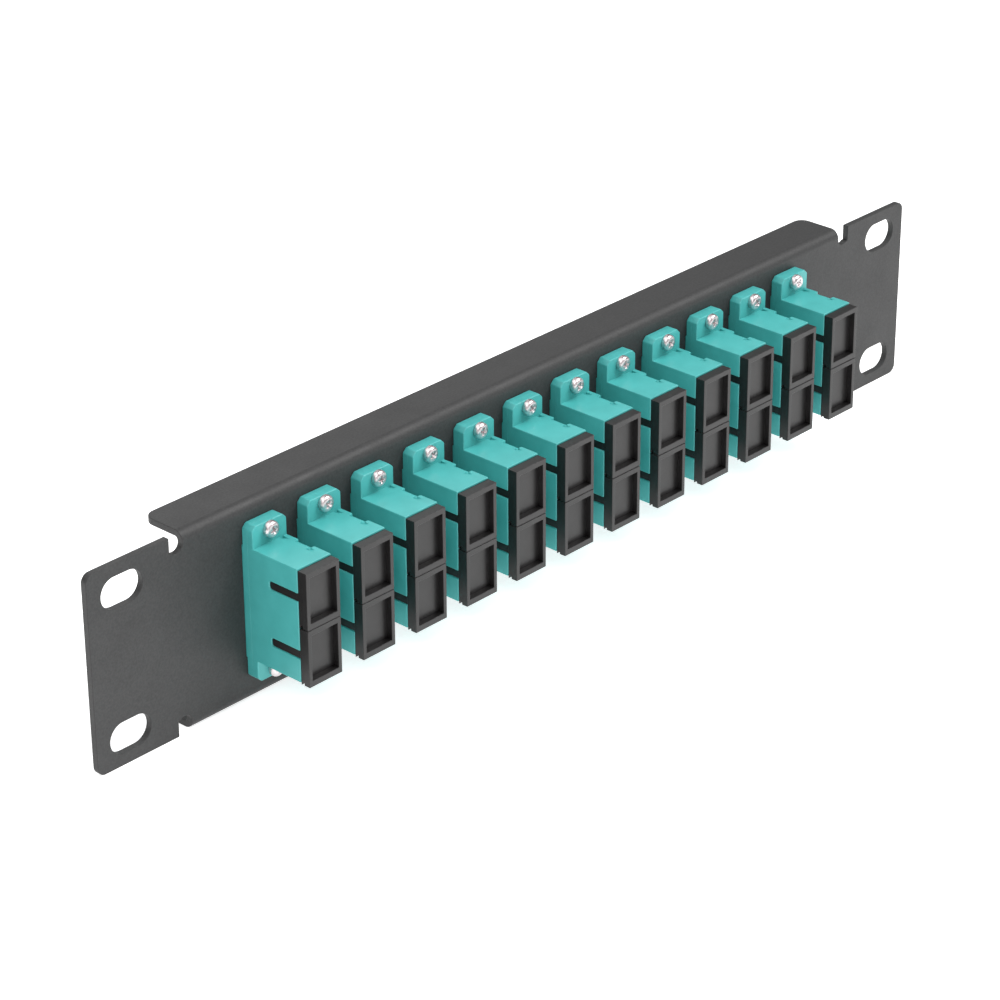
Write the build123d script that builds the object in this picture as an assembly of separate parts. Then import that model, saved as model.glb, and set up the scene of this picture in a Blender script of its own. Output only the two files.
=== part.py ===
from build123d import *
import os

# Fibre patch panel for a ten inch rack, one unit high, with a row of duplex SC adapters.
# X runs along the panel, +Y points into the rack and +Z is up, in millimetres.
# The origin is the centre of the ear slots, on the rear face of the sheet.

# Folded sheet panel
PANEL_WIDTH = 254.0
PANEL_HEIGHT = 44.0
SHEET = 1.5
BEND_INNER_R = 0.7
FLANGE_REACH = 8.5
FLANGE_CORNER_R = 2.0
EAR_WIDTH = 23.5
EAR_CORNER_R = 3.0
NOTCH_WIDTH = 2.4
NOTCH_DEPTH = 3.6
NOTCH_ROUND = 1.4

# Slots for the rack screws, one in each corner of the panel
SLOT_INSET = 8.75
SLOT_SPACING_Z = 31.75
SLOT_LENGTH = 10.5
SLOT_WIDTH = 6.8

# Row of adapters
ADAPTERS = 12
ADAPTER_PITCH = 15.0
ROW_Z = 0.75
PORT_PITCH = 12.7

# Adapter housing, two moulded halves welded flange to flange
BODY_WIDTH = 9.3
BODY_HEIGHT = 25.2
HALF_LENGTH = 13.8
HALF_FLANGE = 1.5
FLANGE_OVERHANG = 4.75
FLANGE_CHAMFER = 1.0
WINDOW_CLEARANCE = 0.2

# Port of the SC connector
PORT_WIDTH = 7.4
PORT_HEIGHT = 9.0
KEYWAY_WIDTH = 2.2
KEYWAY_LENGTH = 8.0
KEYWAY_ROUND = 0.6

# Ribs along one edge of each narrow face of the housing, with a recess between them
RIB_WIDTH = 1.1
RIB_HEIGHT = 0.4
RECESS_START = 4.8
RECESS_LENGTH = 4.3
RECESS_DEPTH = 0.6

# Split ceramic sleeve
SLEEVE_R = 1.6
SLEEVE_BORE_R = 1.25
SLEEVE_LENGTH = 11.4
SLEEVE_SLIT = 0.5
SLEEVE_CLEARANCE = 0.05

# Latch insert, with the sleeve holder and two hooked arms
INSERT_CLEARANCE = 0.05
INSERT_BASE = 1.2
HOLDER_R = 2.45
HOLDER_LIP = 1.0
FERRULE_HOLE_R = 1.3
ARM_THICKNESS = 0.75
ARM_WIDTH = 3.6
ARM_GAP = 3.55
ARM_LENGTH = 8.8
HOOK_DEPTH = 0.2
HOOK_LENGTH = 1.4

# Mounting screws with pan heads, held in tapped holes in the sheet
SCREW_OFFSET = 3.0
SCREW_R = 1.0
SCREW_HOLE_R = 1.1
TAPPED_HOLE_R = 1.02
SCREW_LENGTH = 6.0
HEAD_R = 2.0
HEAD_HEIGHT = 1.5
HEAD_CROWN = 0.6

# Dust caps, one for each front port
CAP_WIDTH = 9.0
CAP_ABOVE = 5.9
CAP_BELOW = 6.65
CAP_PLATE = 2.4
CAP_CHAMFER = 0.35
POCKET_WIDTH = 7.1
POCKET_ABOVE = 4.7
POCKET_BELOW = 5.15
POCKET_DEPTH = 1.7
STUB_R = 3.15
STUB_BORE_CLEARANCE = 0.1
STUB_LENGTH = 9.6
PRY_NOTCH = 0.9

# Planes and places worked out from the sizes above
FOLDED_SPAN = PANEL_WIDTH - 2 * EAR_WIDTH
SLOT_SPACING_X = PANEL_WIDTH - 2 * SLOT_INSET
FLANGE_HEIGHT = BODY_HEIGHT + 2 * FLANGE_OVERHANG
SCREW_SPACING = BODY_HEIGHT + 2 * SCREW_OFFSET
PANEL_FRONT = -SHEET
MATING_Y = PANEL_FRONT - HALF_FLANGE
FRONT_FACE_Y = MATING_Y - HALF_LENGTH
HEAD_SEAT_Y = MATING_Y - HALF_FLANGE
HOLDER_BORE_R = SLEEVE_R + SLEEVE_CLEARANCE
HOLDER_LENGTH = SLEEVE_LENGTH / 2 + SLEEVE_CLEARANCE + HOLDER_LIP
ADAPTER_X = [(i - (ADAPTERS - 1) / 2) * ADAPTER_PITCH for i in range(ADAPTERS)]
PORT_Z = [ROW_Z + PORT_PITCH / 2, ROW_Z - PORT_PITCH / 2]
SCREW_Z = [ROW_Z + SCREW_SPACING / 2, ROW_Z - SCREW_SPACING / 2]


def block(width, depth, height, x=0.0, y=0.0, z=0.0):
    """A box that starts at y and runs to y + depth, centred on x and z."""
    return Pos(x, y + depth / 2, z) * Box(width, depth, height)


def rod(radius, length, y=0.0):
    """A cylinder about the Y axis that starts at y."""
    return Pos(0, y + length / 2, 0) * Rot(90, 0, 0) * Cylinder(radius, length)


def sheet_outline():
    """The flat front of the panel: two ears and the folded span, with a notch at each bend's end."""
    outline = fillet(Rectangle(PANEL_WIDTH, PANEL_HEIGHT).vertices(), EAR_CORNER_R)
    notch = notch_outline()
    upper_notches = [notch, mirror(notch, about=Plane.YZ)]
    lower_notches = [mirror(each, about=Plane.XZ) for each in upper_notches]
    return outline - upper_notches - lower_notches


def notch_outline():
    """The relief at the right end of the upper bend, rounded on the side of the bend."""
    depth = NOTCH_DEPTH + SHEET
    notch = Rectangle(NOTCH_WIDTH, depth)
    corner = notch.vertices().sort_by(Axis.Y)[:2].sort_by(Axis.X)[0]
    notch = fillet(corner, NOTCH_ROUND)
    centre_x = FOLDED_SPAN / 2 + NOTCH_WIDTH / 2
    centre_z = PANEL_HEIGHT / 2 - NOTCH_DEPTH + depth / 2
    return Pos(centre_x, centre_z) * notch


def folded_flange():
    """The upper flange with its bend, from the web up to the rear edge, over the folded span."""
    outer_r = BEND_INNER_R + SHEET
    top = PANEL_HEIGHT / 2
    start = Line((PANEL_FRONT, top - outer_r), (0, top - outer_r))
    inner_bend = CenterArc((outer_r + PANEL_FRONT, top - outer_r), BEND_INNER_R, 180, -90)
    inner_edge = Line(inner_bend @ 1, (FLANGE_REACH, top - SHEET))
    rear_edge = Line(inner_edge @ 1, (FLANGE_REACH, top))
    outer_edge = Line(rear_edge @ 1, (outer_r + PANEL_FRONT, top))
    outer_bend = CenterArc((outer_r + PANEL_FRONT, top - outer_r), outer_r, 90, 90)
    section = make_face([start, inner_bend, inner_edge, rear_edge, outer_edge, outer_bend])
    flange = extrude(Plane.YZ * section, amount=FOLDED_SPAN / 2, both=True)
    rear_corners = flange.edges().filter_by(Axis.Z).group_by(Axis.Y)[-1]
    return fillet(rear_corners, FLANGE_CORNER_R)


def panel():
    """The powder coated sheet: ears, web, two folded flanges, windows, screw holes and slots."""
    outer_r = BEND_INNER_R + SHEET
    outline = sheet_outline()
    for top in (-1, 1):
        strip_z = top * (PANEL_HEIGHT / 2 - outer_r / 2)
        outline -= Pos(0, strip_z) * Rectangle(FOLDED_SPAN, outer_r)
    slots = SlotOverall(SLOT_LENGTH, SLOT_WIDTH)
    outline -= GridLocations(SLOT_SPACING_X, SLOT_SPACING_Z, 2, 2) * slots
    window_width = BODY_WIDTH + 2 * WINDOW_CLEARANCE
    window_height = BODY_HEIGHT + 2 * (RIB_HEIGHT + WINDOW_CLEARANCE)
    outline -= [Pos(x, ROW_Z) * Rectangle(window_width, window_height) for x in ADAPTER_X]
    outline -= [Pos(x, z) * Circle(TAPPED_HOLE_R) for x in ADAPTER_X for z in SCREW_Z]
    web = extrude(Plane.XZ * outline, amount=SHEET)
    flange = folded_flange()
    return web + flange + mirror(flange, about=Plane.XY)


def housing_half():
    """One half of a housing, about its mating plane at y = 0, with its ports facing -Y."""
    flange = Rectangle(BODY_WIDTH, FLANGE_HEIGHT)
    flange = chamfer(flange.vertices(), FLANGE_CHAMFER)
    flange -= GridLocations(0, SCREW_SPACING, 1, 2) * Circle(SCREW_HOLE_R)
    half = extrude(Plane.XZ * flange, amount=HALF_FLANGE)
    half += block(BODY_WIDTH, HALF_LENGTH, BODY_HEIGHT, y=-HALF_LENGTH)
    for side in (-1, 1):
        port_z = side * PORT_PITCH / 2
        half -= block(PORT_WIDTH, HALF_LENGTH, PORT_HEIGHT, y=-HALF_LENGTH, z=port_z)
        half -= Pos(-BODY_WIDTH / 2, -HALF_LENGTH, port_z) * keyway()
        rib_x = BODY_WIDTH / 2 - RIB_WIDTH / 2
        rib_z = side * (BODY_HEIGHT / 2 + RIB_HEIGHT / 2)
        recess_y = -RECESS_START - RECESS_LENGTH
        recess_z = side * (BODY_HEIGHT / 2 + (RIB_HEIGHT - RECESS_DEPTH) / 2)
        recess_height = RIB_HEIGHT + RECESS_DEPTH
        half += block(RIB_WIDTH, HALF_LENGTH, RIB_HEIGHT, rib_x, -HALF_LENGTH, rib_z)
        half -= block(RIB_WIDTH, RECESS_LENGTH, recess_height, rib_x, recess_y, recess_z)
    return half


def keyway():
    """The slot for the plug's key, cut inwards from the port face, with a rounded inner end."""
    slot = Pos(KEYWAY_LENGTH / 2, 0) * Rectangle(KEYWAY_LENGTH, KEYWAY_WIDTH)
    inner_corners = slot.vertices().group_by(Axis.X)[-1]
    return extrude(Plane.YZ * fillet(inner_corners, KEYWAY_ROUND), amount=BODY_WIDTH / 2)


def latch_insert():
    """The sleeve holder and two hooked arms on a base plate, about the mating plane at y = 0."""
    base_width = PORT_WIDTH - 2 * INSERT_CLEARANCE
    base_height = PORT_HEIGHT - 2 * INSERT_CLEARANCE
    insert = block(base_width, INSERT_BASE, base_height, y=-INSERT_BASE)
    insert += rod(HOLDER_R, HOLDER_LENGTH, y=-HOLDER_LENGTH)
    insert -= rod(HOLDER_BORE_R, HOLDER_LENGTH - HOLDER_LIP, y=HOLDER_LIP - HOLDER_LENGTH)
    insert -= rod(FERRULE_HOLE_R, HOLDER_LENGTH, y=-HOLDER_LENGTH)
    arm = hooked_arm()
    return insert + arm + mirror(arm, about=Plane.XY)


def hooked_arm():
    """The upper arm: a thin strip whose hook leans in towards the plug."""
    root = ARM_GAP + ARM_THICKNESS
    ramp = ARM_GAP - HOOK_DEPTH
    catch = HOOK_LENGTH - ARM_LENGTH
    outline = Polyline(
        (-INSERT_BASE, ARM_GAP), (-INSERT_BASE, root), (-ARM_LENGTH, root),
        (-ARM_LENGTH, ARM_GAP), (catch - HOOK_LENGTH / 2, ramp), (catch, ramp),
        (catch, ARM_GAP), close=True)
    return extrude(Plane.YZ * make_face(outline), amount=ARM_WIDTH / 2, both=True)


def split_sleeve():
    """The ceramic sleeve that lines up two ferrules, about its middle, slit along one side."""
    ring = Circle(SLEEVE_R) - Circle(SLEEVE_BORE_R)
    ring -= Pos(SLEEVE_R, 0) * Rectangle(2 * SLEEVE_R, SLEEVE_SLIT)
    return extrude(Plane.XZ * ring, amount=SLEEVE_LENGTH / 2, both=True)


def screw():
    """A pan head screw, with the underside of its head at y = 0 and its shank along +Y."""
    head = rod(HEAD_R, HEAD_HEIGHT, y=-HEAD_HEIGHT)
    crown = head.edges().sort_by(Axis.Y)[0]
    return chamfer(crown, HEAD_CROWN) + rod(SCREW_R, SCREW_LENGTH)


def dust_cap():
    """A cap on its port's axis, with the back of its plate at y = 0 and its stub along +Y."""
    plate = rim(CAP_WIDTH, CAP_ABOVE, CAP_BELOW, CAP_PLATE)
    plate = chamfer(plate.edges().filter_by(Axis.Y), CAP_CHAMFER)
    plate -= rim(POCKET_WIDTH, POCKET_ABOVE, POCKET_BELOW, POCKET_DEPTH, CAP_PLATE - POCKET_DEPTH)
    plate -= block(PRY_NOTCH, PRY_NOTCH, PRY_NOTCH, (PRY_NOTCH - CAP_WIDTH) / 2, -PRY_NOTCH,
                   PRY_NOTCH / 2 - CAP_BELOW)
    bore_r = HOLDER_R + STUB_BORE_CLEARANCE
    return plate + rod(STUB_R, STUB_LENGTH) - rod(bore_r, STUB_LENGTH)


def rim(width, above, below, depth, back=0.0):
    """A block whose height is uneven about the port's axis, as deep as stated in front of back."""
    return block(width, depth, above + below, y=-depth - back, z=(above - below) / 2)


def flipped(solid):
    """The rear twin of a piece that is modelled about the mating plane."""
    return mirror(solid, about=Plane.XZ)


def repeated(solid, y, heights):
    """One group of copies of a piece, at each height of every adapter."""
    return Compound(children=[Pos(x, y, z) * solid for x in ADAPTER_X for z in heights])


def nodes():
    """Every named piece of the patch panel."""
    front_half = housing_half()
    insert = latch_insert()
    cap = dust_cap()
    pieces = {"panel": panel()}
    for number, x in enumerate(ADAPTER_X, start=1):
        pieces[f"adapter_{number:02d}_front_shell"] = Pos(x, MATING_Y, ROW_Z) * front_half
        pieces[f"adapter_{number:02d}_rear_shell"] = Pos(x, MATING_Y, ROW_Z) * flipped(front_half)
        for level, z in zip(("upper", "lower"), PORT_Z):
            pieces[f"dust_cap_{number:02d}_{level}"] = Pos(x, FRONT_FACE_Y, z) * cap
    pieces["front_latch_inserts"] = repeated(insert, MATING_Y, PORT_Z)
    pieces["rear_latch_inserts"] = repeated(flipped(insert), MATING_Y, PORT_Z)
    pieces["split_sleeves"] = repeated(split_sleeve(), MATING_Y, PORT_Z)
    pieces["mounting_screws"] = repeated(screw(), HEAD_SEAT_Y, SCREW_Z)
    return pieces


os.makedirs("parts", exist_ok=True)
for name, piece in nodes().items():
    export_step(piece, f"parts/{name}.step")
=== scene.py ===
import math

import bmesh
import bpy
from mathutils import Matrix, Vector


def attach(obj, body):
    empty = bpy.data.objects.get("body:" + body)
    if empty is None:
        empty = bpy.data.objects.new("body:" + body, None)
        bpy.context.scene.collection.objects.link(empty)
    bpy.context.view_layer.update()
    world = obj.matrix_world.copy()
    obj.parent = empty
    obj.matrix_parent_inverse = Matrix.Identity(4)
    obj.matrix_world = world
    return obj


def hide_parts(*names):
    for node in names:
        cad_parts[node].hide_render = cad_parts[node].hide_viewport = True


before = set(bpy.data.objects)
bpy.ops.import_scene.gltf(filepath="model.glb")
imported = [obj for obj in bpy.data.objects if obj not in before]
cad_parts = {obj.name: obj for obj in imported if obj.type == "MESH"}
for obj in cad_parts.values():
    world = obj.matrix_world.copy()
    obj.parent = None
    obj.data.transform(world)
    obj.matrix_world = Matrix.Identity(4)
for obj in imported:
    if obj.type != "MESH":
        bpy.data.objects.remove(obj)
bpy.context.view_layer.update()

MM = 0.001
X_AXIS, Y_AXIS, Z_AXIS = range(3)

# Camera that took the photograph: place in metres, angles in degrees, lens and sensor in millimetres
CAMERA_PLACE = (-0.48411, -0.44052, 0.32114)
CAMERA_AZIMUTH = -47.019
CAMERA_ELEVATION = 26.829
CAMERA_ROLL = -0.361
CAMERA_LENS = 122.277
SENSOR_WIDTH = 36.0
CLIP_START = 0.01
CLIP_END = 20.0

# Strength of the sky, and the name, place, side and power of each square light, in metres and watts
SKY_STRENGTH = 0.34
LIGHTS = (
    ("key", (0.87, -0.93, 1.54), 1.2, 38.0),
    ("left", (-0.55, -0.35, 0.7), 0.7, 3.0),
    ("top", (-0.35, 0.4, 0.9), 0.8, 3.0),
    ("back", (0.4, 0.8, 0.45), 0.6, 1.5),
)

# Floor: its side, and the gap that it leaves under the panel
FLOOR_SIZE = 6.0
FLOOR_GAP = 0.02 * MM

# Range of the noise that a change is spread over, and how far a moulding's roughness strays
NOISE_LOW = 0.3
NOISE_HIGH = 0.7
ROUGHNESS_SPREAD = 0.05

# How far a form reaches past what it cuts or joins, and how near a point counts as on a line
MARGIN = 0.1 * MM
OVERSHOOT = 1.0 * MM
NEARNESS = 0.01 * MM

# Row of adapters, as in the CAD model
ADAPTERS = 12
ADAPTER_PITCH = 15.0 * MM
ROW_Z = 0.75 * MM
PORT_PITCH = 12.7 * MM

# Panel: its ears' corners, its flanges, the relief notch at each end of a bend, and its windows
PANEL_SIDE = 127.0 * MM
PANEL_TOP = 22.0 * MM
EAR_ROUND = 3.0 * MM
NEW_EAR_ROUND = 2.0 * MM
FLANGE_REACH = 8.5 * MM
NEW_FLANGE_REACH = 9.8 * MM
FLANGE_ROUND = 2.5 * MM
FLANGE_END = 102.5 * MM
NOTCH_END = 105.9 * MM
NOTCH_DEPTH = 4.0 * MM
NOTCH_ROUND = 1.6 * MM
WINDOW_WIDTH = 9.7 * MM
WINDOW_HEIGHT = 26.4 * MM
WINDOW_GAP = 0.06 * MM

# Depth of the cut through a flange's corner, and where the notches' cut starts before the sheet
FLANGE_CUT = 3.0 * MM
NOTCH_FRONT = -2.0 * MM

# Halves of the housings, which meet at the mating plane
MATING_Y = -3.0 * MM
BODY_WIDTH = 9.3 * MM
BODY_HEIGHT = 25.2 * MM
HALF_LENGTH = 13.8 * MM
HALF_FLANGE = 1.5 * MM
PORT_SIDE = 3.7 * MM
KEYWAY_WIDTH = 2.2 * MM
NEW_KEYWAY_WIDTH = 1.82 * MM

# Strip along one edge of each narrow face, which lies flush, and the ramped grooves beside it
STRIP_WIDTH = 1.1 * MM
GROOVE_WIDTH = 0.9 * MM
GROOVE_LENGTH = 1.9 * MM
GROOVE_DEPTH = 0.5 * MM
GROOVE_STARTS = (1.5 * MM, 8.8 * MM)

# Dust caps, about the axis of their port, with the back of the plate at y = 0
CAP_WIDTH = 9.0 * MM
CAP_ABOVE = 5.9 * MM
CAP_BELOW = 6.65 * MM
CAP_PLATE = 2.4 * MM
POCKET_WIDTH = 7.2 * MM
POCKET_ABOVE = 4.7 * MM
POCKET_BELOW = 5.3 * MM
POCKET_DEPTH = 1.4 * MM
PRY_NOTCH = 0.6 * MM
PRY_START = 0.25 * MM
STUB_RADIUS = 3.15 * MM
STUB_BORE = 2.55 * MM
STUB_LENGTH = 9.6 * MM
STUB_TURNS = 48
KEY_LENGTH = 7.95 * MM
KEY_HEIGHT = 1.74 * MM
KEY_ROUND = 0.65 * MM
KEY_OUTER = 4.45 * MM
KEY_INNER = 2.7 * MM

# Mounting screws, with the underside of the head at y = 0
SCREW_SPACING = 31.2 * MM
HEAD_SEAT_Y = -4.5 * MM
HEAD_RADIUS = 1.8 * MM
HEAD_HEIGHT = 1.4 * MM
HEAD_ROUND = 0.8 * MM
HEAD_CHAMFER = 0.08 * MM
HEAD_EDGE = 0.04 * MM
SHANK_RADIUS = 1.0 * MM
SHANK_END = 3.9 * MM
THREAD_END = 6.0 * MM
THREAD_PITCH = 0.4 * MM
THREAD_DEPTH = 0.12 * MM
THREAD_ROW = 0.1 * MM
CROWN_STEPS = 8
HEAD_TURNS = 32
THREAD_TURNS = 24
CREASE_ANGLE = math.radians(40.0)

# Blades of the crossed recess, in the head and above it: half length, place on Y and half width
BLADE_DEEP = (0.4 * MM, -0.4 * MM, 0.16 * MM)
BLADE_OPEN = (0.98 * MM, -1.6 * MM, 0.23 * MM)

# Degrees from one screw's turn to the next one's, and the turn after which a cross looks the same
TURN_BY_COLUMN = 53
TURN_BY_LEVEL = 37
TURN_LIMIT = 90

# Radius of the rounded edges, and the share of it that is left where two halves meet
PANEL_EDGE = 0.15 * MM
SHELL_EDGE = 0.2 * MM
CAP_EDGE = 0.1 * MM
SEAM_SHARE = 0.3
EDGE_SEGMENTS = 2
CORNER_STEPS = 6

# Folds above the sharp angle are edges, those below the flat one are flat, near points are joined
SHARP_ANGLE = math.radians(35.0)
FLAT_ANGLE = math.radians(0.5)
JOIN_DISTANCE = 0.001 * MM


# Materials

def start_material(name):
    """A new material with its shader and a texture position in metres."""
    material = bpy.data.materials.new(name)
    material.use_nodes = True
    tree = material.node_tree
    shader = tree.nodes["Principled BSDF"]
    position = tree.nodes.new("ShaderNodeTexCoord").outputs["Object"]
    return material, tree, shader, position


def add_noise(tree, position, size, detail=3.0):
    """Noise whose grains are about as large as size, in metres."""
    noise = tree.nodes.new("ShaderNodeTexNoise")
    noise.inputs["Scale"].default_value = 1.0 / size
    noise.inputs["Detail"].default_value = detail
    tree.links.new(position, noise.inputs["Vector"])
    return noise.outputs["Fac"]


def add_ramp(tree, factor, low, high):
    """A colour that goes from low to high with the noise."""
    ramp = tree.nodes.new("ShaderNodeValToRGB")
    ramp.color_ramp.elements[0].position = NOISE_LOW
    ramp.color_ramp.elements[0].color = (*low, 1.0)
    ramp.color_ramp.elements[1].position = NOISE_HIGH
    ramp.color_ramp.elements[1].color = (*high, 1.0)
    tree.links.new(factor, ramp.inputs["Fac"])
    return ramp.outputs["Color"]


def add_range(tree, factor, low, high):
    """A number that goes from low to high with the noise."""
    spread = tree.nodes.new("ShaderNodeMapRange")
    spread.inputs["From Min"].default_value = NOISE_LOW
    spread.inputs["From Max"].default_value = NOISE_HIGH
    spread.inputs["To Min"].default_value = low
    spread.inputs["To Max"].default_value = high
    tree.links.new(factor, spread.inputs["Value"])
    return spread.outputs["Result"]


def add_bump(tree, shader, height, strength, depth):
    """Fine relief on the surface, as deep as depth in metres."""
    bump = tree.nodes.new("ShaderNodeBump")
    bump.inputs["Strength"].default_value = strength
    bump.inputs["Distance"].default_value = depth
    tree.links.new(height, bump.inputs["Height"])
    tree.links.new(bump.outputs["Normal"], shader.inputs["Normal"])


def powder_coat():
    """Black powder coat: a fine pebbled skin with a satin gloss."""
    material, tree, shader, position = start_material("powder_coat")
    shader.inputs["Specular IOR Level"].default_value = 0.45
    pebbles = add_noise(tree, position, size=0.45 * MM, detail=2.0)
    colour = add_ramp(tree, pebbles, low=(0.0235, 0.0235, 0.0238), high=(0.0352, 0.0352, 0.0355))
    tree.links.new(colour, shader.inputs["Base Color"])
    patches = add_noise(tree, position, size=9.0 * MM)
    tree.links.new(add_range(tree, patches, low=0.52, high=0.6), shader.inputs["Roughness"])
    add_bump(tree, shader, pebbles, strength=0.5, depth=0.03 * MM)
    return material


def moulded_plastic(name, low, high, roughness, grain, depth):
    """Moulded plastic with a fine spark-eroded texture and a slight change of colour."""
    material, tree, shader, position = start_material(name)
    clouds = add_noise(tree, position, size=4.0 * MM)
    tree.links.new(add_ramp(tree, clouds, low, high), shader.inputs["Base Color"])
    texture = add_noise(tree, position, grain, detail=2.0)
    spread = add_range(
        tree, texture, roughness - ROUGHNESS_SPREAD, roughness + ROUGHNESS_SPREAD)
    tree.links.new(spread, shader.inputs["Roughness"])
    add_bump(tree, shader, texture, strength=0.4, depth=depth)
    return material


def nickel_steel():
    """Nickel plated steel with a slight haze from turning."""
    material, tree, shader, position = start_material("nickel_steel")
    shader.inputs["Metallic"].default_value = 1.0
    haze = add_noise(tree, position, size=0.5 * MM)
    colour = add_ramp(tree, haze, low=(0.66, 0.58, 0.59), high=(0.82, 0.73, 0.74))
    tree.links.new(colour, shader.inputs["Base Color"])
    tree.links.new(add_range(tree, haze, low=0.28, high=0.4), shader.inputs["Roughness"])
    add_bump(tree, shader, haze, strength=0.2, depth=0.01 * MM)
    return material


def zirconia():
    """White ceramic, ground smooth."""
    material, tree, shader, position = start_material("zirconia")
    clouds = add_noise(tree, position, size=1.5 * MM)
    colour = add_ramp(tree, clouds, low=(0.78, 0.76, 0.70), high=(0.86, 0.84, 0.79))
    tree.links.new(colour, shader.inputs["Base Color"])
    tree.links.new(add_range(tree, clouds, low=0.12, high=0.2), shader.inputs["Roughness"])
    return material


def matte_floor():
    """A plain pale floor."""
    material, tree, shader, position = start_material("pale_floor")
    clouds = add_noise(tree, position, size=300.0 * MM)
    colour = add_ramp(tree, clouds, low=(0.74, 0.74, 0.74), high=(0.77, 0.77, 0.77))
    tree.links.new(colour, shader.inputs["Base Color"])
    shader.inputs["Roughness"].default_value = 0.9
    shader.inputs["Emission Color"].default_value = (1.0, 1.0, 1.0, 1.0)
    shader.inputs["Emission Strength"].default_value = 0.75
    return material


# Objects and meshes

def add_object(name, data):
    """A new object in the scene."""
    made = bpy.data.objects.new(name, data)
    bpy.context.scene.collection.objects.link(made)
    return made


def add_piece(name, mesh, material):
    """A new object in the scene with one material."""
    piece = add_object(name, mesh)
    mesh.materials.clear()
    mesh.materials.append(material)
    return piece


def evaluated(piece):
    """The mesh of an object with its modifiers."""
    scene_now = bpy.context.evaluated_depsgraph_get()
    return bpy.data.meshes.new_from_object(piece.evaluated_get(scene_now))


def as_mesh(shape, name):
    """The mesh of a shape that is finished with."""
    mesh = bpy.data.meshes.new(name)
    shape.to_mesh(mesh)
    shape.free()
    return mesh


def copied(source):
    """A mesh as a shape, with its doubled corners joined, its flat faces whole, no loose face."""
    shape = bmesh.new()
    shape.from_mesh(source)
    bmesh.ops.remove_doubles(shape, verts=shape.verts, dist=JOIN_DISTANCE)
    bmesh.ops.dissolve_limit(
        shape, angle_limit=FLAT_ANGLE, verts=shape.verts, edges=shape.edges)
    loose = [face for face in shape.faces if all(edge.is_boundary for edge in face.edges)]
    bmesh.ops.delete(shape, geom=loose, context="FACES")
    return shape


def node_mesh(node):
    """A cleaned copy of a CAD node's mesh."""
    return as_mesh(copied(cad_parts[node].data), "whole")


def take_away(mesh, tool):
    """The mesh after a tool is taken from it."""
    solid = add_object("solid", mesh)
    other = add_object("tool", tool)
    change = solid.modifiers.new("change", "BOOLEAN")
    change.operation = "DIFFERENCE"
    change.solver = "EXACT"
    change.use_self = True
    change.object = other
    result = evaluated(solid)
    bpy.data.objects.remove(solid)
    bpy.data.objects.remove(other)
    return result


def weigh_edges(shape):
    """Marks inner edges as sharp and outer ones to be rounded, less so where two halves meet."""
    weight = shape.edges.layers.float.new("bevel_weight_edge")
    for edge in shape.edges:
        if len(edge.link_faces) != 2 or edge.calc_face_angle() < SHARP_ANGLE:
            continue
        if not edge.is_convex:
            edge.smooth = False
            continue
        on_seam = all(abs(end.co.y - MATING_Y) < NEARNESS for end in edge.verts)
        edge[weight] = SEAM_SHARE if on_seam else 1.0


def split_corners(mesh):
    """Marks the fold beyond each inner edge's end sharp too, so that the faces there stay flat."""
    shape = bmesh.new()
    shape.from_mesh(mesh)
    folds = []
    for vertex in shape.verts:
        if sum(not edge.smooth for edge in vertex.link_edges) == 1:
            smooth = [edge for edge in vertex.link_edges if edge.smooth and edge.is_manifold]
            folds += sorted(smooth, key=lambda edge: edge.calc_face_angle())[-1:]
    for edge in folds:
        edge.smooth = edge.calc_face_angle() < SHARP_ANGLE
    shape.to_mesh(mesh)
    shape.free()


def stand_for(piece, node, body):
    """Lets a piece stand for a CAD node, on the node's body, and hides the node."""
    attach(piece, body)
    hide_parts(node)


def finish(node, shape, body, radius, material):
    """A piece with rounded edges, which stands for a CAD node."""
    weigh_edges(shape)
    mesh = as_mesh(shape, f"{node}_shape")
    mesh.shade_smooth()
    piece = add_piece(f"{node}_finished", mesh, material)
    bevel = piece.modifiers.new("rounded_edges", "BEVEL")
    bevel.width = radius
    bevel.segments = EDGE_SEGMENTS
    bevel.limit_method = "WEIGHT"
    bevel.use_clamp_overlap = False
    bevel.loop_slide = False
    rounded = evaluated(piece)
    piece.modifiers.remove(bevel)
    split_corners(rounded)
    piece.data = rounded
    flats = piece.modifiers.new("flat_faces", "WEIGHTED_NORMAL")
    flats.mode = "FACE_AREA"
    flats.weight = 100
    flats.keep_sharp = True
    stand_for(piece, node, body)


# Basic forms

def column_x(column):
    """The middle of an adapter, counted from 0 at the left."""
    return (column - (ADAPTERS - 1) / 2) * ADAPTER_PITCH


def quarter(centre, radius, start):
    """Points of a quarter circle that begins at the angle start, in degrees, and turns left."""
    angles = [math.radians(start + 90.0 / CORNER_STEPS * step) for step in range(CORNER_STEPS + 1)]
    return [(centre[0] + radius * math.cos(angle), centre[1] + radius * math.sin(angle))
            for angle in angles]


def add_block(shape, first, second):
    """Adds a closed box between two opposite corners, and returns its corners."""
    low = [min(pair) for pair in zip(first, second)]
    high = [max(pair) for pair in zip(first, second)]
    made = bmesh.ops.create_cube(shape, size=1.0)["verts"]
    for corner in made:
        corner.co = Vector([high[i] if corner.co[i] > 0 else low[i] for i in range(3)])
    return made


def add_prism(shape, outline, axis, start, end):
    """Adds an outline's closed prism along an axis, the outline's own axes being the other two."""
    layers = []
    for place in (start, end):
        layer = []
        for point in outline:
            corner = list(point)
            corner.insert(axis, place)
            layer.append(shape.verts.new(corner))
        layers.append(layer)
    for step, corner in enumerate(layers[0]):
        after = (step + 1) % len(outline)
        shape.faces.new([corner, layers[0][after], layers[1][after], layers[1][step]])
    shape.faces.new(layers[0])
    shape.faces.new(reversed(layers[1]))


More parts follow.
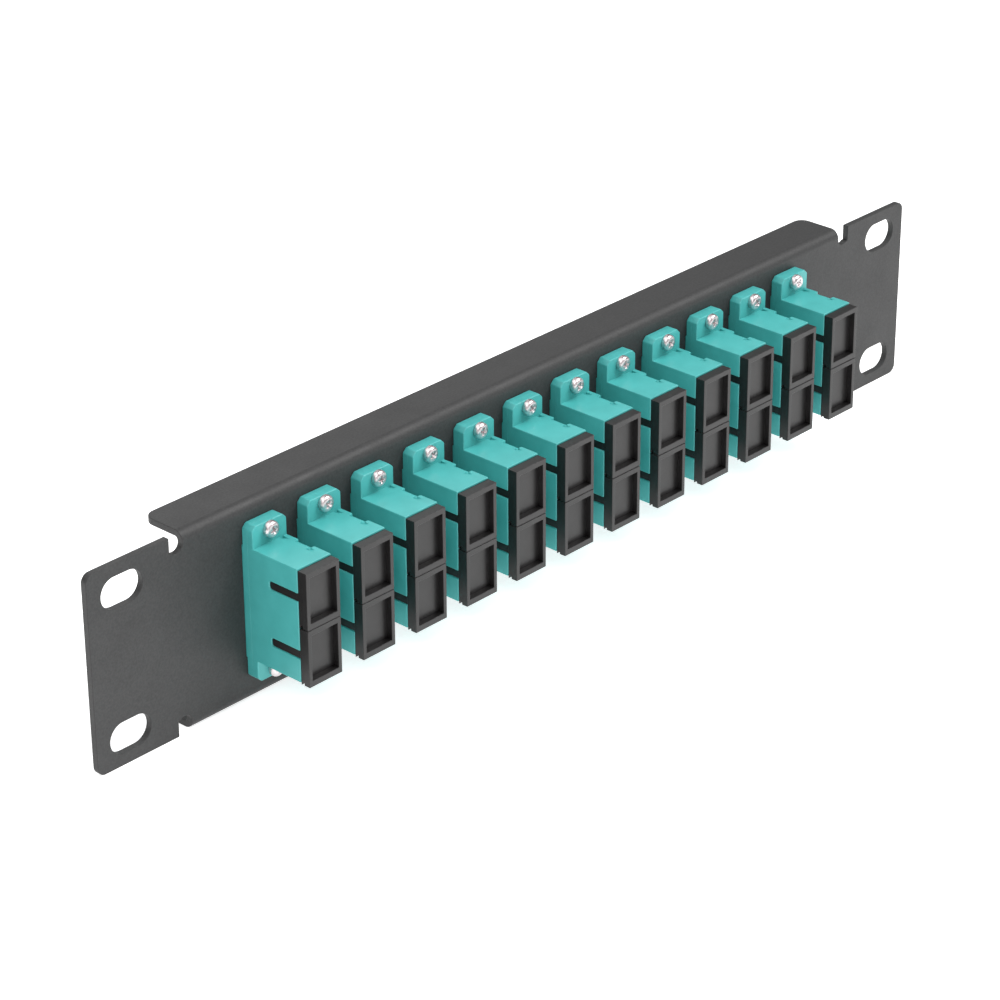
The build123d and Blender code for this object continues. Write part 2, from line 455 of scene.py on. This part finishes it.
def add_ring(shape, radii, y):
    """Adds points evenly round the Y axis, each at a radius of its own."""
    ring = []
    for step, radius in enumerate(radii):
        angle = 2.0 * math.pi * step / len(radii)
        ring.append(shape.verts.new((radius * math.cos(angle), y, radius * math.sin(angle))))
    return ring


def join_rings(shape, rings, turns):
    """Adds the faces between rings of points, some of which may be a single point."""
    for near, far in zip(rings, rings[1:]):
        for step in range(turns):
            after = (step + 1) % turns
            corners = [near[step % len(near)], near[after % len(near)],
                       far[after % len(far)], far[step % len(far)]]
            shape.faces.new(list(dict.fromkeys(corners)))


def lathe(shape, outline, turns):
    """Turns an outline of (radius, y) points about the Y axis."""
    rings = []
    for radius, y in outline:
        points = turns if radius > 0.0 else 1
        rings.append(add_ring(shape, [radius] * points, y))
    join_rings(shape, rings, turns)


def add_rod(shape, radius, start, end):
    """Adds a closed cylinder about the Y axis."""
    lathe(shape, [(0.0, start), (radius, start), (radius, end), (0.0, end)], STUB_TURNS)


# Panel

def reshape_panel(mesh):
    """Moves the sheet's points to the photograph's tighter ear corners and deeper flanges."""
    straight = (PANEL_SIDE - EAR_ROUND, PANEL_TOP - EAR_ROUND)
    share = NEW_EAR_ROUND / EAR_ROUND
    for vertex in mesh.vertices:
        x, y, z = vertex.co
        if abs(x) > straight[0] and abs(z) > straight[1]:
            x = math.copysign(PANEL_SIDE - (PANEL_SIDE - abs(x)) * share, x)
            z = math.copysign(PANEL_TOP - (PANEL_TOP - abs(z)) * share, z)
        if y > FLANGE_REACH - FLANGE_ROUND:
            y += NEW_FLANGE_REACH - FLANGE_REACH
        vertex.co = (x, y, z)


def close_windows(mesh):
    """Moves the windows' edges in the sheet up to the housings, whose ribs are cut off here."""
    wide = (BODY_WIDTH / 2 + WINDOW_GAP) / (WINDOW_WIDTH / 2)
    high = (BODY_HEIGHT / 2 + WINDOW_GAP) / (WINDOW_HEIGHT / 2)
    columns = [column_x(column) for column in range(ADAPTERS)]
    for vertex in mesh.vertices:
        column = min(columns, key=lambda x: abs(vertex.co.x - x))
        across = vertex.co.x - column
        up = vertex.co.z - ROW_Z
        if abs(across) < WINDOW_WIDTH / 2 + NEARNESS and abs(up) < WINDOW_HEIGHT / 2 + NEARNESS:
            vertex.co.x = column + across * wide
            vertex.co.z = ROW_Z + up * high


def panel_relief():
    """What is cut from the panel: wider notches at the bends' ends, and rounder flange corners."""
    shape = bmesh.new()
    reach = NEW_FLANGE_REACH
    low = PANEL_TOP - NOTCH_DEPTH
    top = PANEL_TOP + OVERSHOOT
    notch = quarter((FLANGE_END + NOTCH_ROUND, low + NOTCH_ROUND), NOTCH_ROUND, 180.0)
    notch += quarter((NOTCH_END - NOTCH_ROUND, low + NOTCH_ROUND), NOTCH_ROUND, 270.0)
    notch += [(NOTCH_END, top), (FLANGE_END, top)]
    corner = quarter((FLANGE_END - FLANGE_ROUND, reach - FLANGE_ROUND), FLANGE_ROUND, 0.0)
    corner += [(FLANGE_END - FLANGE_ROUND, reach + OVERSHOOT),
               (FLANGE_END + OVERSHOOT, reach + OVERSHOOT),
               (FLANGE_END + OVERSHOOT, reach - FLANGE_ROUND)]
    for side in (1, -1):
        for level in (1, -1):
            ends = [(side * x, level * z) for x, z in notch]
            add_prism(shape, ends, Y_AXIS, NOTCH_FRONT, reach + OVERSHOOT)
            ends = [(side * x, y) for x, y in corner]
            low_end = level * (PANEL_TOP - FLANGE_CUT)
            add_prism(shape, ends, Z_AXIS, low_end, level * top)
    bmesh.ops.recalc_face_normals(shape, faces=shape.faces)
    return as_mesh(shape, "panel_relief")


def sheet_panel(material):
    """The folded sheet."""
    whole = node_mesh("panel")
    reshape_panel(whole)
    close_windows(whole)
    shape = copied(take_away(whole, panel_relief()))
    finish("panel", shape, "root", PANEL_EDGE, material)


# Housings

def narrow_keyways(mesh, column):
    """Moves the edges of a housing half's keyways closer together."""
    share = NEW_KEYWAY_WIDTH / KEYWAY_WIDTH
    for vertex in mesh.vertices:
        if vertex.co.x > column - PORT_SIDE + NEARNESS:
            continue
        for level in (1, -1):
            middle = ROW_Z + level * PORT_PITCH / 2
            if abs(vertex.co.z - middle) < KEYWAY_WIDTH / 2 + NEARNESS:
                vertex.co.z = middle + (vertex.co.z - middle) * share


def add_groove(shape, left, start, end, face, level):
    """Adds a groove's form, deep at y start and flush with the face at y end."""
    right = left + GROOVE_WIDTH
    made = add_block(shape, (left, start, face), (right, end, face + level * MARGIN))
    for corner in made:
        if abs(corner.co.y - start) < NEARNESS and abs(corner.co.z - face) < NEARNESS:
            corner.co.z = face - level * GROOVE_DEPTH


def housing_relief(x, out):
    """What is cut from the half at x on the side out of the panel: strip edges and grooves."""
    shape = bmesh.new()
    edge = x + BODY_WIDTH / 2
    strip = edge - STRIP_WIDTH
    near = MATING_Y + out * HALF_FLANGE
    far = MATING_Y + out * (HALF_LENGTH + MARGIN)
    for level in (1, -1):
        face = ROW_Z + level * BODY_HEIGHT / 2
        above = face + level * OVERSHOOT
        add_block(shape, (strip - MARGIN, near, face), (edge + MARGIN, far, above))
        for start in GROOVE_STARTS:
            deep = MATING_Y + out * start
            shallow = deep + out * GROOVE_LENGTH
            add_groove(shape, strip - GROOVE_WIDTH, deep, shallow, face, level)
    return as_mesh(shape, "relief")


def housings(material):
    """Both halves of every housing."""
    for column in range(ADAPTERS):
        x = column_x(column)
        for side, out in (("front", -1), ("rear", 1)):
            node = f"adapter_{column + 1:02d}_{side}_shell"
            whole = node_mesh(node)
            narrow_keyways(whole, x)
            shape = copied(take_away(whole, housing_relief(x, out)))
            finish(node, shape, "root", SHELL_EDGE, material)


# Dust caps

def add_key(shape):
    """Adds the bar that fills the keyway, with its inner end rounded."""
    inner = KEY_LENGTH - KEY_ROUND
    half = KEY_HEIGHT / 2 - KEY_ROUND
    outline = [(-MARGIN, -KEY_HEIGHT / 2)] + quarter((inner, -half), KEY_ROUND, -90.0)
    outline += quarter((inner, half), KEY_ROUND, 0.0) + [(-MARGIN, KEY_HEIGHT / 2)]
    add_prism(shape, outline, X_AXIS, -KEY_OUTER, -KEY_INNER)


def cap_body():
    """What a dust cap is made of: its plate, the rod of its stub and its key."""
    shape = bmesh.new()
    add_block(shape, (-CAP_WIDTH / 2, -CAP_PLATE, -CAP_BELOW), (CAP_WIDTH / 2, 0.0, CAP_ABOVE))
    add_rod(shape, STUB_RADIUS, -MARGIN, STUB_LENGTH)
    add_key(shape)
    bmesh.ops.recalc_face_normals(shape, faces=shape.faces)
    return as_mesh(shape, "cap_body")


def cap_hollow():
    """What is cut from a dust cap: the stub's bore, the pocket and the notch for prying it out."""
    shape = bmesh.new()
    add_rod(shape, STUB_BORE, 0.0, STUB_LENGTH + MARGIN)
    add_block(
        shape, (-POCKET_WIDTH / 2, -CAP_PLATE - MARGIN, -POCKET_BELOW),
        (POCKET_WIDTH / 2, POCKET_DEPTH - CAP_PLATE, POCKET_ABOVE))
    add_block(
        shape, (-CAP_WIDTH / 2 - MARGIN, -PRY_START - PRY_NOTCH, -CAP_BELOW - MARGIN),
        (PRY_NOTCH - CAP_WIDTH / 2, -PRY_START, PRY_NOTCH - CAP_BELOW))
    bmesh.ops.recalc_face_normals(shape, faces=shape.faces)
    return as_mesh(shape, "cap_hollow")


def dust_caps(material):
    """Every dust cap, on its own body."""
    single = take_away(cap_body(), cap_hollow())
    for column in range(ADAPTERS):
        for level, up in (("upper", 1), ("lower", -1)):
            node = f"dust_cap_{column + 1:02d}_{level}"
            place = Vector((column_x(column), MATING_Y - HALF_LENGTH, ROW_Z + up * PORT_PITCH / 2))
            cap = copied(single)
            cap.transform(Matrix.Translation(place))
            finish(node, cap, node, CAP_EDGE, material)


# Screws

def screw_outline():
    """The pan head's rounded crown, its side and the plain part of the shank."""
    crown = []
    for step in range(CROWN_STEPS + 1):
        angle = math.radians(90.0 * step / CROWN_STEPS)
        crown.append((HEAD_RADIUS - HEAD_ROUND + HEAD_ROUND * math.sin(angle),
                      HEAD_ROUND - HEAD_HEIGHT - HEAD_ROUND * math.cos(angle)))
    return [(0.0, -HEAD_HEIGHT)] + crown + [
        (HEAD_RADIUS, -HEAD_CHAMFER), (HEAD_RADIUS - HEAD_CHAMFER, 0.0),
        (SHANK_RADIUS, 0.0), (SHANK_RADIUS, SHANK_END), (0.0, SHANK_END)]


def add_thread(shape):
    """Adds the threaded end of the shank, closed at both ends."""
    rows = []
    count = round((THREAD_END - SHANK_END) / THREAD_ROW)
    for row in range(count + 1):
        y = SHANK_END + (THREAD_END - SHANK_END) * row / count
        radii = []
        for step in range(THREAD_TURNS):
            phase = (y / THREAD_PITCH + step / THREAD_TURNS) % 1.0
            radii.append(SHANK_RADIUS - THREAD_DEPTH + THREAD_DEPTH * abs(2.0 * phase - 1.0))
        rows.append(add_ring(shape, radii, y))
    join_rings(shape, rows, THREAD_TURNS)
    shape.faces.new(reversed(rows[0]))
    shape.faces.new(rows[-1])


def cross_cutter():
    """The form of the crossed recess: two tapered blades about the Y axis."""
    shape = bmesh.new()
    for turned in (0.0, math.pi / 2):
        made = bmesh.ops.create_cube(shape, size=1.0)["verts"]
        for corner in made:
            reach, y, half = BLADE_DEEP if corner.co.y > 0 else BLADE_OPEN
            corner.co = Vector((
                math.copysign(reach, corner.co.x), y, math.copysign(half, corner.co.z)))
        bmesh.ops.rotate(shape, verts=made, matrix=Matrix.Rotation(turned, 3, "Y"))
    return as_mesh(shape, "cutter")


def screw_mesh():
    """One screw without its thread, its head's underside at y = 0."""
    shape = bmesh.new()
    lathe(shape, screw_outline(), HEAD_TURNS)
    bmesh.ops.recalc_face_normals(shape, faces=shape.faces)
    solid = add_object("screw", take_away(as_mesh(shape, "screw"), cross_cutter()))
    worn = solid.modifiers.new("worn_edges", "BEVEL")
    worn.width = HEAD_EDGE
    worn.segments = EDGE_SEGMENTS
    worn.limit_method = "ANGLE"
    worn.angle_limit = CREASE_ANGLE
    mesh = evaluated(solid)
    bpy.data.objects.remove(solid)
    return mesh


def screw_place(column, level):
    """Where a screw sits, with a turn that looks random and is the same in every build."""
    place = Vector((column_x(column), HEAD_SEAT_Y, ROW_Z + level * SCREW_SPACING / 2))
    turn = math.radians((column * TURN_BY_COLUMN + (level + 1) * TURN_BY_LEVEL) % TURN_LIMIT)
    return Matrix.Translation(place) @ Matrix.Rotation(turn, 4, "Y")


def mounting_screws(material):
    """All the screws as one piece."""
    single = screw_mesh()
    shape = bmesh.new()
    for column in range(ADAPTERS):
        for level in (1, -1):
            one = bmesh.new()
            one.from_mesh(single)
            add_thread(one)
            one.transform(screw_place(column, level))
            joined = as_mesh(one, "one_screw")
            shape.from_mesh(joined)
            bpy.data.meshes.remove(joined)
    mesh = as_mesh(shape, "mounting_screws_shape")
    mesh.shade_smooth()
    piece = add_piece("mounting_screws_finished", mesh, material)
    smooth = piece.modifiers.new("sharp_creases", "EDGE_SPLIT")
    smooth.split_angle = CREASE_ANGLE
    stand_for(piece, "mounting_screws", "root")


# Stage

def add_floor():
    """The floor under the panel's lower edge."""
    place = (0.0, 0.0, -PANEL_TOP - FLOOR_GAP)
    bpy.ops.mesh.primitive_plane_add(size=FLOOR_SIZE, location=place)
    floor = bpy.context.object
    floor.name = "floor"
    floor.data.materials.append(matte_floor())


def add_camera():
    """The camera at the photograph's viewing angle."""
    azimuth = math.radians(CAMERA_AZIMUTH)
    elevation = math.radians(CAMERA_ELEVATION)
    roll = math.radians(CAMERA_ROLL)
    back = Vector((
        math.sin(azimuth) * math.cos(elevation),
        -math.cos(azimuth) * math.cos(elevation),
        math.sin(elevation)))
    right = (-back).cross(Vector((0.0, 0.0, 1.0))).normalized()
    up = right.cross(-back)
    rolled_right = math.cos(roll) * right + math.sin(roll) * up
    rolled_up = math.cos(roll) * up - math.sin(roll) * right
    turned = Matrix((rolled_right, rolled_up, back)).transposed().to_4x4()
    data = bpy.data.cameras.new("camera")
    data.lens = CAMERA_LENS
    data.sensor_width = SENSOR_WIDTH
    data.clip_start = CLIP_START
    data.clip_end = CLIP_END
    camera = add_object("camera", data)
    camera.matrix_world = Matrix.Translation(CAMERA_PLACE) @ turned
    bpy.context.scene.camera = camera


def add_light(name, place, size, power):
    """A soft square light that faces the panel."""
    data = bpy.data.lights.new(name, "AREA")
    data.shape = "SQUARE"
    data.size = size
    data.energy = power
    light = add_object(name, data)
    light.location = place
    light.rotation_mode = "QUATERNION"
    light.rotation_quaternion = (-Vector(place)).to_track_quat("-Z", "Y")


def add_sky():
    """Even white light from all round."""
    world = bpy.data.worlds.new("studio")
    world.use_nodes = True
    background = world.node_tree.nodes["Background"]
    background.inputs["Color"].default_value = (1.0, 1.0, 1.0, 1.0)
    background.inputs["Strength"].default_value = SKY_STRENGTH
    bpy.context.scene.world = world


def set_stage():
    """The floor, the camera and the light."""
    add_floor()
    add_camera()
    add_sky()
    for light in LIGHTS:
        add_light(*light)
    bpy.context.scene.view_settings.view_transform = "Standard"


# The part

def dress(node, material):
    """Gives a CAD node that stays as it is its material."""
    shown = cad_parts[node]
    for slot in shown.material_slots:
        slot.material = material


def build_part():
    """All the pieces in their materials."""
    teal = moulded_plastic(
        "teal_plastic", low=(0.058, 0.375, 0.365), high=(0.070, 0.42, 0.41),
        roughness=0.38, grain=0.12 * MM, depth=0.012 * MM)
    insert = moulded_plastic(
        "insert_plastic", low=(0.065, 0.40, 0.385), high=(0.08, 0.44, 0.43),
        roughness=0.34, grain=0.1 * MM, depth=0.01 * MM)
    black = moulded_plastic(
        "cap_plastic", low=(0.008, 0.0075, 0.0075), high=(0.012, 0.0112, 0.0112),
        roughness=0.36, grain=0.15 * MM, depth=0.01 * MM)
    sheet_panel(powder_coat())
    housings(teal)
    dust_caps(black)
    dress("front_latch_inserts", insert)
    dress("rear_latch_inserts", insert)
    dress("split_sleeves", zirconia())
    mounting_screws(nickel_steel())


build_part()
set_stage()
